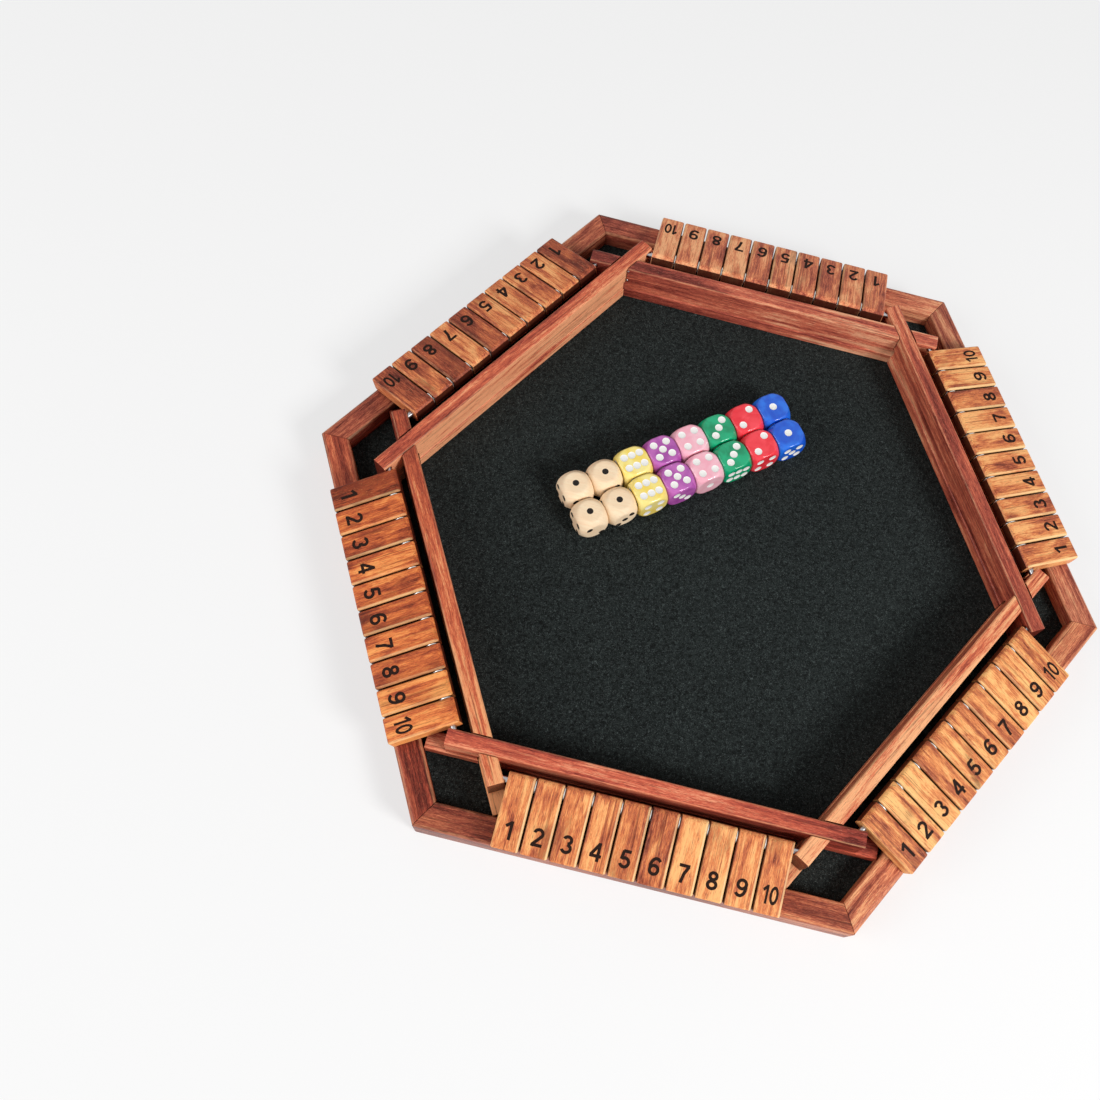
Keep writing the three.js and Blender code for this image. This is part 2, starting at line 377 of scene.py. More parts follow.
groove_top, groove_floor = panel_high.z + groove_play, panel_low.z - groove_play
groove_depth = panel_high.y + groove_play
rail_section = (
    [(frame_inner, foot_ease), (frame_inner + foot_ease, 0)]
    + arc((frame_outer - foot_ease, foot_ease), foot_ease, -90, 0, 2)
    + arc((frame_outer - outer_round, frame_height - outer_round), outer_round, 0, 90)
    + arc((frame_inner + inner_ease, frame_height - inner_ease), inner_ease, 90, 180, 3)
    + [(frame_inner, groove_top), (groove_depth, groove_top)]
    + [(groove_depth, groove_floor), (frame_inner, groove_floor)]
)
section = shown("rail_section", plain_mesh(
    "rail_section", [(0, -out, up) for out, up in rail_section], [range(len(rail_section))]))
rail_points = plain_mesh("rail_points", [(0, 0, 0)] * len(side_names))
rail_seeds = range(1, len(side_names) + 1)
rail_tones, rail_drifts, rail_casts = zip(*rail_stains.values())
for label, values in (("seed", rail_seeds), ("tone", rail_tones), ("drift", rail_drifts)):
    mark(rail_points, label, values)
mark(rail_points, "cast", rail_casts, "FLOAT_VECTOR")

# Draws the section out along the side, cuts the mitres and sets a rail on each point, turned to its side
rails_tree, start, given = new_tree("mitred_rails", [
    ("Section", "Object"), ("Half Length", "Float"), ("Mitre Gap", "Float"), ("Finish", "Material")])
half_span = given["Half Length"]
one_end = start.node("GeometryNodeTransform", {
    "Geometry": start.node("GeometryNodeObjectInfo", {"Object": given["Section"]}, "Geometry"),
    "Translation": vector(start, X=half_span * -1.0),
})
drawn_out = start.node("GeometryNodeExtrudeMesh", {
    "Mesh": one_end, "Offset": vector(start, X=1.0), "Offset Scale": half_span * 2.0, "Individual": False,
}, mode="FACES")
closed = start.node("GeometryNodeMergeByDistance", {
    "Geometry": joined(drawn_out, start.node("GeometryNodeFlipFaces", {"Mesh": one_end})),
    "Distance": 0.01 * MM,
})
spot = start.node("GeometryNodeInputPosition")
along_rail, out_of_rail, up_rail = spot.axes()
end_sign = start.combine("SIGN", along_rail)
mitre_reach = out_of_rail * -math.tan(side_angle / 2) - given["Mitre Gap"] * (0.5 / math.cos(side_angle / 2))
mitred = start.node("GeometryNodeSetPosition", {
    "Geometry": closed,
    "Position": vector(start, X=end_sign * mitre_reach, Y=out_of_rail, Z=up_rail),
})
placed = start.node("GeometryNodeStoreNamedAttribute", {
    "Geometry": mitred, "Name": "place",
    "Value": spot + (0.0, (frame_inner + frame_outer) / 2, -frame_height / 2),
}, data_type="FLOAT_VECTOR")
ring = planted(start, given["Finish"], {
    "Points": given["Geometry"], "Instance": placed,
    "Rotation": vector(start, Z=start.node("GeometryNodeInputIndex") * side_angle),
})
start.node("NodeGroupOutput", {"Geometry": ring})

# Its arrises get the pale band, partly sanding and partly painted highlight.
frame_finish = stained_wood(
    "rosewood_frame", ["#4a1910", "#934634", "#cb7451", "#eeab78"], "#e3aa7c",
    (frame_outer - frame_inner) / 2, frame_height / 2, 1.6 * MM,
    worn_and_lit_share=0.2, scorch=0.6, lines=0.8, cells=(16, 150))
frame_piece = grown("frame", rail_points, rails_tree, {
    "Section": section, "Half Length": frame_outer, "Mitre Gap": mitre_gap, "Finish": frame_finish})
bpy.data.objects.remove(section)
smooth(frame_piece.data, frame_sharp_degrees)
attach(frame_piece, "board")
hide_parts(*(f"frame_rail_{side}" for side in side_names))

# The base panel: a plain hexagonal board that sits in the rails' grooves. Its underside shows under the
# game, bare and sanded, with the felt glued on its top.


def noise(tree, cells, detail=2, **more):
    """Noise with this many cells in a metre of the piece's coordinates, all ways or along X, Y and Z."""
    spot = tree.node("ShaderNodeTexCoord", None, "Object")
    if isinstance(cells, tuple):
        spot, cells = spot * cells, 1.0
    return tree.node("ShaderNodeTexNoise", {"Vector": spot, "Scale": cells, "Detail": detail, **more}, "Fac")


panel_finish, tree = new_finish("bare_panel")
long_grain = noise(tree, (22, 420, 420), 4)
speck = noise(tree, 1900)
coat(tree, {
    "Base Color": (long_grain * 1.4 - 0.2 + (speck - 0.5) * 0.5).mixed("#7d5534", "#b98a5c"),
    "Roughness": 0.62 + speck * 0.2,
    "Normal": bump(long_grain + speck * 0.4, 0.25, 0.15 * MM),
})
panel = frame["nodes"]["base_panel"]
panel.data.materials.clear()
panel.data.materials.append(panel_finish)

# The felt: one sheet of short black needle felt, cut to the frame's inside and glued down over the whole
# base, so that it also shows in the six corner pockets.
felt_low, felt_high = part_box("felt")
felt_apothem = felt_high.y
felt_corner = felt_apothem / math.cos(side_angle / 2)
felt_rings = 44
felt_unevenness = 0.07 * MM
felt_sharp_degrees = 40


def built(shape, name, turn_outward=False):
    """The mesh of a shape that is finished with."""
    if turn_outward:
        bmesh.ops.recalc_face_normals(shape, faces=shape.faces)
    mesh = bpy.data.meshes.new(name)
    shape.to_mesh(mesh)
    shape.free()
    return mesh


def felt_sheet():
    """A hexagon of concentric rings, closed below, whose top is not quite level."""
    shape = bmesh.new()
    rings = [[shape.verts.new((0, 0, felt_high.z))]]
    for ring in range(1, felt_rings + 1):
        row = []
        for side in range(len(side_names)):
            start_corner, end_corner = (
                Vector((math.cos((side + i) * side_angle), math.sin((side + i) * side_angle), 0))
                * felt_corner * ring / felt_rings for i in (0, 1))
            for step in range(ring):
                at = start_corner.lerp(end_corner, step / ring)
                swell = math.sin(at.x * 310 + 1.3) * math.sin(at.y * 270) + math.sin(at.x * 97 - at.y * 113)
                drop = felt_unevenness * (1 + swell / 2) if ring < felt_rings else 0
                row.append(shape.verts.new((at.x, at.y, felt_high.z - drop)))
        rings.append(row)
    for ring in range(1, felt_rings + 1):
        outer, inner = rings[ring], rings[ring - 1]
        for side in range(len(side_names)):
            for step in range(ring):
                a = outer[side * ring + step]
                b = outer[(side * ring + step + 1) % len(outer)]
                inner_at = (side * (ring - 1) + step) % len(inner)
                shape.faces.new((a, b, inner[inner_at]))
                if step < ring - 1:
                    shape.faces.new((b, inner[(inner_at + 1) % len(inner)], inner[inner_at]))
    edge = rings[-1]
    under = [shape.verts.new((v.co.x, v.co.y, felt_low.z)) for v in edge]
    for i, top in enumerate(edge):
        after = (i + 1) % len(edge)
        shape.faces.new((top, under[i], under[after], edge[after]))
    shape.faces.new(under[::-1])
    return built(shape, "felt")


felt_finish, tree = new_finish("black_felt")
clump = noise(tree, 620, 3, Roughness=0.7)
hair = noise(tree, 1150, Distortion=2.2)
patch = noise(tree, 16)
nap = (clump.above(0.36, 0.66) * 0.75 + patch * 0.25).mixed("#060707", "#272d2c")
coat(tree, {
    "Base Color": (hair.above(0.56, 0.66) * 0.65).mixed(nap, "#5c6564"),
    "Roughness": 0.96,
    "Sheen Weight": 0.06,
    "Sheen Roughness": 0.5,
    "Sheen Tint": paint("#8fa0a2"),
    "Specular IOR Level": 0.1,
    "Normal": bump(clump + hair, 0.9, 0.4 * MM),
})
felt = shown("felt_sheet", felt_sheet())
felt.data.materials.append(felt_finish)
smooth(felt.data, felt_sharp_degrees)
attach(felt, "board")
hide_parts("felt")

# The tray walls: six rails of the same stained wood, each on a slightly thicker foot, half-lapped where
# they cross. Their arrises and ends are eased by hand, and the ends are bored for the neighbours' pins.
wall_ease = 0.75 * MM
wall_ease_steps = 3
wall_ease_over_degrees = 42
wall_low, wall_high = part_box("wall_front")
wall_centre = Vector((0, (wall_low.y + wall_high.y) / 2, (wall_low.z + wall_high.z) / 2))
wall_half_width = 4 * MM
wall_first_seed = 11
wall_facing_share = 0.8
weld_gap = 0.005 * MM
# Of each wall: the tones of its top and of its inner face, how much they gain in a metre, and its cast.
# The inner face's tone, set apart from the top's, is partly painted light: lighter or darker as light falls
# on it.
wall_stains = {
    "front": (0.52, 0.46, -2.3, (0, -0.14, 0)),
    "front_right": (0.92, 0.6, -1, (0.05, 0.08, 0.1)),
    "back_right": (0.43, 0.47, 1.4, (0, 0.04, 0.18)),
    "back": (0.52, 0.56, -4, (0.03, 0.08, 0.3)),
    "back_left": (0.48, 1.15, 0, (0.08, 0.03, 0.1)),
    "front_left": (0.7, 0.6, 5, (0, -0.06, -0.12)),
}
# Their arrises get the pale band, partly sanding and partly painted highlight.
wall_finish = stained_wood(
    "rosewood_walls", ["#531b13", "#a44b38", "#d66f4c", "#f4ae7c"], "#efb384",
    wall_half_width, (wall_high.z - wall_low.z) / 2, 0.9 * MM,
    worn_and_lit_share=0.25, scorch=0.4, lines=0.7, cells=(16, 150))


def wall_board(name, node):
    """The wall's solid with its flat faces made whole and its sharp edges eased."""
    shape = bmesh.new()
    shape.from_mesh(frame["nodes"][node].data)
    bmesh.ops.remove_doubles(shape, verts=shape.verts, dist=weld_gap)
    bmesh.ops.dissolve_limit(shape, angle_limit=math.radians(1), verts=shape.verts, edges=shape.edges)
    helper = shown(name + "_helper", built(shape, name))
    bevel = helper.modifiers.new("ease", "BEVEL")
    bevel.width, bevel.segments, bevel.limit_method = wall_ease, wall_ease_steps, "ANGLE"
    bevel.angle_limit = math.radians(wall_ease_over_degrees)
    helper.modifiers.new("flats", "WEIGHTED_NORMAL").keep_sharp = True
    return modified(helper, name)


def mark_end_grain(mesh, grain, least):
    """Marks the faces that look along the grain, whose open pores take up more stain. On the tiles the mark
    also carries painted shade at the end by the pin.
    """
    mark(mesh, "end_grain", [float(abs(face.normal.dot(grain)) > least) for face in mesh.polygons],
         domain="FACE")


for number, side in enumerate(side_names):
    wall_mesh = wall_board(f"tray_wall_{side}", f"wall_{side}")
    top_tone, face_tone, drift, cast = wall_stains[side]
    turned = Matrix.Rotation(number * side_angle, 3, "Z")
    upright = turned.transposed()
    inward = turned @ Vector((0, 1, 0))
    count = len(wall_mesh.vertices)
    mark(wall_mesh, "place", [upright @ v.co - wall_centre for v in wall_mesh.vertices], "FLOAT_VECTOR")
    mark(wall_mesh, "seed", [wall_first_seed + number] * count)
    mark(wall_mesh, "drift", [drift] * count)
    mark(wall_mesh, "cast", [cast] * count, "FLOAT_VECTOR")
    # Painted light: the inner face takes its own tone, lighter or darker than the top as the light falls on
    # it.
    mark(wall_mesh, "tone", [face_tone if face.normal.dot(inward) > wall_facing_share else top_tone
                             for face in wall_mesh.polygons], domain="FACE")
    mark_end_grain(wall_mesh, turned @ Vector((1, 0, 0)), wall_facing_share)
    wall_mesh.materials.clear()
    wall_mesh.materials.append(wall_finish)
    wall_piece = shown(f"tray_wall_{side}", wall_mesh)
    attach(wall_piece, "board")
    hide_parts(f"wall_{side}")

# The pins: six drawn steel rods with broken edges, one through each row of tiles. Their ends sit in the
# bores of the two neighbouring walls.
pin_low, pin_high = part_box("pin_front")
pin_half = pin_high.x
pin_radius = (pin_high.z - pin_low.z) / 2
pin_centre = (pin_low + pin_high) / 2
pin_chamfer = 0.3 * MM
pin_sharp_degrees = 30


def lathed(name, profile, sides=28, ring_shaped=False):
    """A part turned about X from its profile: places along X with their radii. The first may be 0."""
    shape = bmesh.new()
    turns = [i * math.tau / sides for i in range(sides)]
    rings = [
        [shape.verts.new((x, radius * math.cos(turn), radius * math.sin(turn)))
         for turn in (turns if radius else turns[:1])]
        for x, radius in profile
    ]
    for before, after in zip(rings, rings[1:] + rings[:1] * ring_shaped):
        for i in range(sides):
            j = (i + 1) % sides
            corners = (before[i % len(before)], before[j % len(before)], after[j], after[i])
            shape.faces.new(dict.fromkeys(corners))
    if not ring_shaped:
        for ring in (rings[0], rings[-1]):
            if len(ring) > 1:
                shape.faces.new(ring)
    return built(shape, name, turn_outward=True)


def steel_pin(name):
    pin = lathed(name, [
        (-pin_half, pin_radius - pin_chamfer), (-pin_half + pin_chamfer, pin_radius),
        (pin_half - pin_chamfer, pin_radius), (pin_half, pin_radius - pin_chamfer)])
    smooth(pin, pin_sharp_degrees)
    return pin


pin_finish, tree = new_finish("drawn_steel")
draw_line = noise(tree, 3000)
coat(tree, {
    "Base Color": draw_line.mixed("#8e8f91", "#c2c3c5"),
    "Metallic": 1.0,
    "Roughness": 0.22 + draw_line * 0.16,
})
for number, side in enumerate(side_names):
    pin_mesh = steel_pin(f"steel_pin_{side}")
    pin_mesh.transform(Matrix.Rotation(number * side_angle, 4, "Z") @ Matrix.Translation(pin_centre))
    pin_mesh.materials.append(pin_finish)
    pin_piece = shown(f"steel_pin_{side}", pin_mesh)
    if f"pin_{side}" in frame["nodes"]:
        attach(pin_piece, "board")
        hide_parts(f"pin_{side}")
    else:
        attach(pin_piece, f"tile_row_{side}")

# The brads: two small domed steel nails, driven through the back wall's inner face beside the back left
# wall to hold their joint. Only their heads show.
brad_profile = [(0.30, 0), (0.26, 0.28), (0.14, 0.48), (0.02, 0.56), (-0.1, 0.56)]
brad_sides = 14
brad_from_corner = 0.9 * MM
brad_heights = [wall_high.z - 1.4 * MM, wall_high.z - 9.2 * MM]
wall_inner_face = -wall_high.y
brad_place = brad_from_corner - wall_inner_face * math.tan(side_angle / 2)
shape = bmesh.new()
for height in brad_heights:
    profile = [(proud * MM, radius * MM) for proud, radius in brad_profile]
    brad_head = lathed("brad_head", profile, brad_sides)
    brad_head.transform(Matrix.Translation((brad_place, wall_inner_face, height))
                        @ Matrix.Rotation(math.radians(-90), 4, "Z"))
    shape.from_mesh(brad_head)
brads = shown("wall_brads", built(shape, "wall_brads"))
brads.data.shade_smooth()
brads.data.materials.append(pin_finish)
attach(brads, "board")

# The numerals: 1 to 10 in a bold plain face, printed in dark brown ink on the outer end of each tile, so
# that they stand upright for the player on that side.
tile_count = 10
numeral_height = 8.5 * MM
numeral_stroke_share = 0.173
numeral_from_end = 4.9 * MM
ink_thickness = 0.04 * MM
ink_layer = 0.002 * MM
two_figure_squeeze_share = 0.74
two_figure_shift_shares = (-0.27, 0.2)
arc_step_degrees, least_arc_steps = 11, 6
sharpest_turn_share = 0.5
# Of each stroke, in shares of the height: points, and arcs as centre, two radii and two angles
numeral_shares = {
    0: [[(0.33, 0.5, 0.235, 0.408, 90, 450)]],
    1: [[(0.40, 0), (0.40, 1)], [(0.10, 0.70), (0.37, 0.905)]],
    2: [[(0.325, 0.69, 0.225, 0.218, 172, -28), (0.115, 0.115), (0.085, 0.0)], [(0.03, 0.09), (0.63, 0.09)]],
    3: [[(0.315, 0.725, 0.20, 0.185, 165, -86)], [(0.315, 0.29, 0.232, 0.2, 86, -165)]],
    4: [[(0.46, 0), (0.46, 1)], [(0.0, 0.29), (0.64, 0.29)], [(0.44, 0.93), (0.055, 0.31)]],
    5: [[(0.16, 0.91), (0.59, 0.91)], [(0.185, 0.93), (0.115, 0.46)],
        [(0.31, 0.325, 0.232, 0.235, 138, -160)]],
    6: [[(0.33, 0.315, 0.228, 0.225, 90, 450)], [(0.385, 0.50, 0.283, 0.412, 42, 198)]],
    7: [[(0.03, 0.91), (0.62, 0.91)], [(0.56, 0.9), (0.36, 0.5), (0.25, 0.0)]],
    8: [[(0.33, 0.735, 0.19, 0.178, 90, 450)], [(0.33, 0.285, 0.228, 0.196, 90, 450)]],
    9: [[(0.33, 0.685, 0.228, 0.225, 90, 450)], [(0.275, 0.50, 0.283, 0.412, 222, 378)]],
}
numeral_middle_share = {0: 0.33, 1: 0.30}
other_middle_share = 0.32


def centre_line(stroke):
    points = []
    for x, y, *bend in stroke:
        if not bend:
            points.append(Vector((x, y)))
            continue
        radius_x, radius_y, from_angle, to_angle = bend
        steps = max(least_arc_steps, round(abs(to_angle - from_angle) / arc_step_degrees))
        for i in range(steps + 1):
            turn_at = math.radians(from_angle + (to_angle - from_angle) * i / steps)
            points.append(Vector((x + radius_x * math.cos(turn_at), y + radius_y * math.sin(turn_at))))
    return points


def draw_stroke(shape, points, lay):
    """A ribbon of ink along the points: its top, and its edges down to the wood."""
    closed_loop = (points[0] - points[-1]).length < 1e-6
    if closed_loop:
        points = points[:-1]
    count = len(points)
    rings = []
    for i, point in enumerate(points):
        before = points[i - 1] if i or closed_loop else point
        after = points[(i + 1) % count] if i < count - 1 or closed_loop else point
        along_in = (point - before).normalized() if point != before else (after - point).normalized()
        along_out = (after - point).normalized() if after != point else along_in
        along = (along_in + along_out).normalized()
        reach = numeral_stroke_share / 2 / max(sharpest_turn_share, along.dot(along_in))
        side_step = Vector((-along.y, along.x)) * reach
        rings.append([shape.verts.new(lay(point + side_step * k, level))
                      for k, level in ((1, 0), (1, 1), (-1, 1), (-1, 0))])
    for before, after in zip(rings, rings[1:] + rings[:1] * closed_loop):
        for k in range(4):
            shape.faces.new((before[k], before[(k + 1) % 4], after[(k + 1) % 4], after[k]))
    if not closed_loop:
        shape.faces.new(rings[0])
        shape.faces.new(rings[-1][::-1])


def numeral(value):
    """The ink of one number, about the middle of its foot. Where strokes overlap, one is a hair higher."""
    shape = bmesh.new()
    figures = [int(c) for c in str(value)]
    squeeze, shifts = (1, (0,)) if len(figures) == 1 else (two_figure_squeeze_share, two_figure_shift_shares)
    for figure, shift in zip(figures, shifts):
        middle = numeral_middle_share.get(figure, other_middle_share)
        for layer_number, stroke in enumerate(numeral_shares[figure]):
            def lay(point, level, lift=layer_number):
                return ((point.x - middle) * squeeze * numeral_height + shift * numeral_height,
                        point.y * numeral_height,
                        level * (ink_thickness + ink_layer * lift))
            draw_stroke(shape, centre_line(stroke), lay)
    return built(shape, f"numeral_{value:02d}", turn_outward=True)


ink_finish, tree = new_finish("brown_ink")
fleck = noise(tree, 2400, 3)
coat(tree, {
    "Base Color": fleck.above(0.45, 0.75).mixed("#1a0e09", "#3a2016"),
    "Roughness": 0.5 + fleck * 0.2,
    "Specular IOR Level": 0.1,
})

# The tiles: square-ended blocks of the same wood, scorched and stained chestnut, rounded at the end that is
# bored for the pin. The outer end lies on the frame. Lacquered like the rest. One long arris of each tile is
# made paler, partly sanded through and partly painted highlight; the flanks between tiles and the end at the
# pin are darkened with scorch and painted shade, and the open flank at each row's end is lightened as
# painted light.
first_low, first_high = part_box("tile_front_1")
second_low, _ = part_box("tile_front_2")
tile_width = first_high.x - first_low.x
tile_pitch = second_low.x - first_low.x
tile_half = 8.5 * MM / 2
tile_arris = 1.1 * MM
pin_end_round = 2.5 * MM
tile_round_steps = 5
inner_corner, outer_corner = 0.5 * MM, 1 * MM
tile_end_from_pin = 4.25 * MM
tile_sharp_degrees = 50
tile_end_facing_share = 0.97
hinge = Vector(next(joint["pos_m"] for joint in frame["joints"] if joint["child"] == "tile_front_1"))
bore_play = 0.12 * MM
tile_tilt = math.radians(12.21)
tile_run = hinge.y - first_low.y
tile_reach = (tile_run - (tile_half - tile_arris) * math.sin(tile_tilt)) / math.cos(tile_tilt)
tile_first_seed = 20
tone_shares = {"d": 0.24, "r": 0.42, "m": 0.54, "o": 0.64, "g": 0.75, "l": 0.9}
# Of each row: the tones of tiles 1 to 10 (d dark, r reddish, m middle, o orange, g golden, l light), their
# cast, and how far the long arris beside the next number is made paler, partly sanded through and partly
# painted highlight, or, under 0, the other one
tile_stains = {
    "front": ("oooomrggoo", (0, 0, 0), 0.8),
    "front_right": ("mllmoomlgg", (0, 0.08, 0.05), -0.3),
    "back_right": ("mgoggogrgg", (0, 0, 0), -0.9),
    "back": ("mgroomgogg", (0, 0, 0.3), 0.3),
    "back_left": ("doooodgdmd", (0, -0.05, 0), 0.12),
    "front_left": ("dmromrmrlo", (0, -0.2, -0.38), 0.5),
}


def tile_blank():
    """One tile about its pin, pointing outwards along -Y, with its grain running out from the pin."""
    outline_points = [(tile_reach, -tile_half), (tile_reach, tile_half), (-tile_end_from_pin, tile_half),
                      (-tile_end_from_pin, -tile_half)]
    shape = bmesh.new()
    near, far = [[shape.verts.new((x, -out, up)) for out, up in outline_points]
                 for x in (-tile_width / 2, tile_width / 2)]
    for i in range(4):
        j = (i + 1) % 4
        shape.faces.new((near[i], near[j], far[j], far[i]))
    shape.faces.new(near)
    shape.faces.new(far[::-1])
    mesh = built(shape, "tile_blank", turn_outward=True)
    rounds = []
    for edge in mesh.edges:
        start_at, end_at = (mesh.vertices[i].co for i in edge.vertices)
        at_pin = min(start_at.y, end_at.y) > 0
        if abs(start_at.z - end_at.z) > tile_half:
            rounds.append(inner_corner if at_pin else outer_corner)
        else:
            rounds.append(pin_end_round if at_pin else tile_arris)
    mark(mesh, "bevel_weight_edge", [r / pin_end_round for r in rounds], domain="EDGE")
    drill = steel_pin("drill")
    widen = (pin_radius + bore_play) / pin_radius
    drill.transform(Matrix.Diagonal((1, widen, widen, 1)))
    block, cutter = shown("tile_block", mesh), shown("tile_drill", drill)
    arrises = block.modifiers.new("arrises", "BEVEL")
    arrises.width, arrises.segments, arrises.limit_method = pin_end_round, tile_round_steps, "WEIGHT"
    bore = block.modifiers.new("bore", "BOOLEAN")
    bore.operation, bore.solver, bore.object = "DIFFERENCE", "EXACT", cutter
    bored = modified(block, "bored_tile")
    bpy.data.objects.remove(cutter)
    bored.materials.clear()
    smooth(bored, tile_sharp_degrees)
    mark(bored, "place", [(v.co.y + tile_reach / 2, v.co.x, v.co.z) for v in bored.vertices], "FLOAT_VECTOR")
    mark_end_grain(bored, Vector((0, 1, 0)), tile_end_facing_share)
    return bored


tile_finish = stained_wood(
    "scorched_tiles", ["#5c2417", "#b0593c", "#e48852", "#ffbb78"], "#f6cb90",
    tile_width / 2, tile_half, 1.4 * MM,
    worn_and_lit_share=0.0, scorch=1.0, lines=0.6, cells=(50, 130), char_and_shade=0.8)

# Puts a tile on each point, with its number picked from the ten and printed on its outer end
tiles_tree, start, given = new_tree("flip_tiles", [
    ("Tile", "Object"), ("Numerals", "Collection"), ("Numeral Place", "Vector"), ("Wood", "Material"),
    ("Ink", "Material")])
tiles = planted(start, given["Wood"], {
    "Points": given["Geometry"],
    "Instance": start.node("GeometryNodeObjectInfo", {"Object": given["Tile"]}, "Geometry"),
})
printed = start.node("GeometryNodeCollectionInfo", {
    "Collection": given["Numerals"], "Separate Children": True, "Reset Children": True}, "Instances")
figure_number = start.node("GeometryNodeInputNamedAttribute", {"Name": "number"}, "Attribute",
                           data_type="INT")
marks = planted(start, given["Ink"], {
    "Points": start.node("GeometryNodeSetPosition", {
        "Geometry": given["Geometry"], "Offset": given["Numeral Place"]}),
    "Instance": printed, "Pick Instance": True, "Instance Index": figure_number - 1.0,
})
start.node("NodeGroupOutput", {"Geometry": joined(tiles, marks)})

numerals = bpy.data.collections.new("numerals")
for value in range(1, tile_count + 1):
    numerals.objects.link(bpy.data.objects.new(f"numeral_{value:02d}", numeral(value)))
blank_tile = bpy.data.objects.new("tile_blank", tile_blank())


def tile_points(name, side_number, side, numbers):
    """One point for each tile along the pin, with the tile's number, seed and stain."""
    tones, cast, worn_edge = tile_stains[side]
    row_middle = (tile_count + 1) / 2
    mesh = plain_mesh(name, [((n - row_middle) * tile_pitch, 0, 0) for n in numbers])
    mark(mesh, "number", numbers, "INT")
    mark(mesh, "seed", [tile_first_seed + tile_count * side_number + n for n in numbers])
    mark(mesh, "tone", [tone_shares[tones[n - 1]] for n in numbers])
    mark(mesh, "cast", [cast] * len(numbers), "FLOAT_VECTOR")
    # Which long arris takes the pale band of sanding and painted highlight
    mark(mesh, "worn_edge", [worn_edge] * len(numbers))
    mark(mesh, "open_side", [{1: -1, tile_count: 1}.get(n, 0) for n in numbers])
    return mesh


for side_number, side in enumerate(side_names):
    row_node = f"tile_row_{side}"
    if row_node in frame["nodes"]:
        groups = {row_node: range(1, tile_count + 1)}
    else:
        groups = {f"tile_{side}_{n}": range(n, n + 1) for n in range(1, tile_count + 1)}
    to_side = (
        Matrix.Rotation(side_number * side_angle, 4, "Z")
        @ Matrix.Translation((0, hinge.y, hinge.z))
        @ Matrix.Rotation(tile_tilt, 4, "X")
    )
    for node, numbers in groups.items():
        piece_name = node.replace("tile", "flip_tile", 1)
        tiles_piece = grown(piece_name, tile_points(piece_name, side_number, side, numbers), tiles_tree, {
            "Tile": blank_tile, "Numerals": numerals, "Wood": tile_finish, "Ink": ink_finish,
            "Numeral Place": (0, -(tile_reach - numeral_from_end), tile_half),
        }, weighted=True)
        tiles_piece.data.transform(to_side)
        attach(tiles_piece, node)
        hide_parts(node)
for used in [blank_tile, *numerals.objects]:
    bpy.data.objects.remove(used)
bpy.data.collections.remove(numerals)

# The washers: thin bright zinc-plated rings, one between each two tiles, that keep the tiles from rubbing.
# They are punched from sheet, threaded on the pin with the tiles, and show as a glint in each gap.
washer_radius = 3.3 * MM
washer_bore = pin_radius + 0.15 * MM
washer_half = 0.27 * MM
washer_burr = 0.1 * MM
washers_tree, start, given = new_tree("pin_washers", [
    ("Washer", "Object"), ("Count", "Int"), ("Pitch", "Float"), ("Finish", "Material")])
gaps = start.node("GeometryNodeMeshLine", {
    "Count": given["Count"],
    "Start Location": vector(start, X=(given["Count"] - 1.0) * given["Pitch"] * -0.5),
    "Offset": vector(start, X=given["Pitch"]),
}, "Mesh", mode="OFFSET")
start.node("NodeGroupOutput", {"Geometry": planted(start, given["Finish"], {
    "Points": gaps,
    "Instance": start.node("GeometryNodeObjectInfo", {"Object": given["Washer"]}, "Geometry"),
})})

washer_finish, tree = new_finish("zinc_plate")
bloom = noise(tree, 1400)
coat(tree, {
    "Base Color": bloom.mixed("#e6e2dc", "#fffdf8"),
    "Metallic": 0.8,
    "Roughness": 0.28 + bloom * 0.15,
})
washer = shown("one_washer", lathed("one_washer", [
    (-washer_half, washer_bore), (-washer_half, washer_radius - washer_burr),
    (washer_burr - washer_half, washer_radius), (washer_half - washer_burr, washer_radius),
    (washer_half, washer_radius - washer_burr), (washer_half, washer_bore)], ring_shaped=True))
smooth(washer.data, pin_sharp_degrees)
for number, side in enumerate(side_names):
    washers = grown(f"washers_{side}", plain_mesh(f"washers_{side}", []), washers_tree, {
        "Washer": washer, "Count": tile_count - 1, "Pitch": tile_pitch, "Finish": washer_finish})
    washers.data.transform(Matrix.Rotation(number * side_angle, 4, "Z") @ Matrix.Translation(pin_centre))
    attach(washers, "board" if f"pin_{side}" in frame["nodes"] else f"tile_row_{side}")
bpy.data.objects.remove(washer)

# The dice: sixteen dice a little over 16 mm, in two rows. Four are turned from bare maple with black pips,
# and the rest are moulded in bright gloss plastic, two of each colour, with white paint in their pips.
die_low, die_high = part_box("die_natural_a_1")
die_size = die_high.z - die_low.z
die_half = die_size / 2
die_cuts = 29
die_edge_radius = 1.1 * MM
die_sharp_degrees = 40
ball_blend = 0.45 * MM
# Radius of the ball that a die's edges and corners are turned down to, in halves of the die, and of its pips
die_forms = {"plastic": (1.4, 2.1 * MM), "wooden": (1.24, 1.75 * MM)}
pip_depth = 0.35 * MM
pip_lift = 0.03 * MM
pip_spread = 3.7 * MM
pip_sides, pip_rings = 28, 10
six_across, six_along = 0.87, 1.2
pip_patterns = {
    1: [(0, 0)],
    2: [(-1, -1), (1, 1)],
    3: [(-1, -1), (0, 0), (1, 1)],
    4: [(-1, -1), (-1, 1), (1, -1), (1, 1)],
    5: [(-1, -1), (-1, 1), (0, 0), (1, -1), (1, 1)],
    6: [(across * six_across, along * six_along) for across in (-1, 1) for along in (-1, 0, 1)],
}
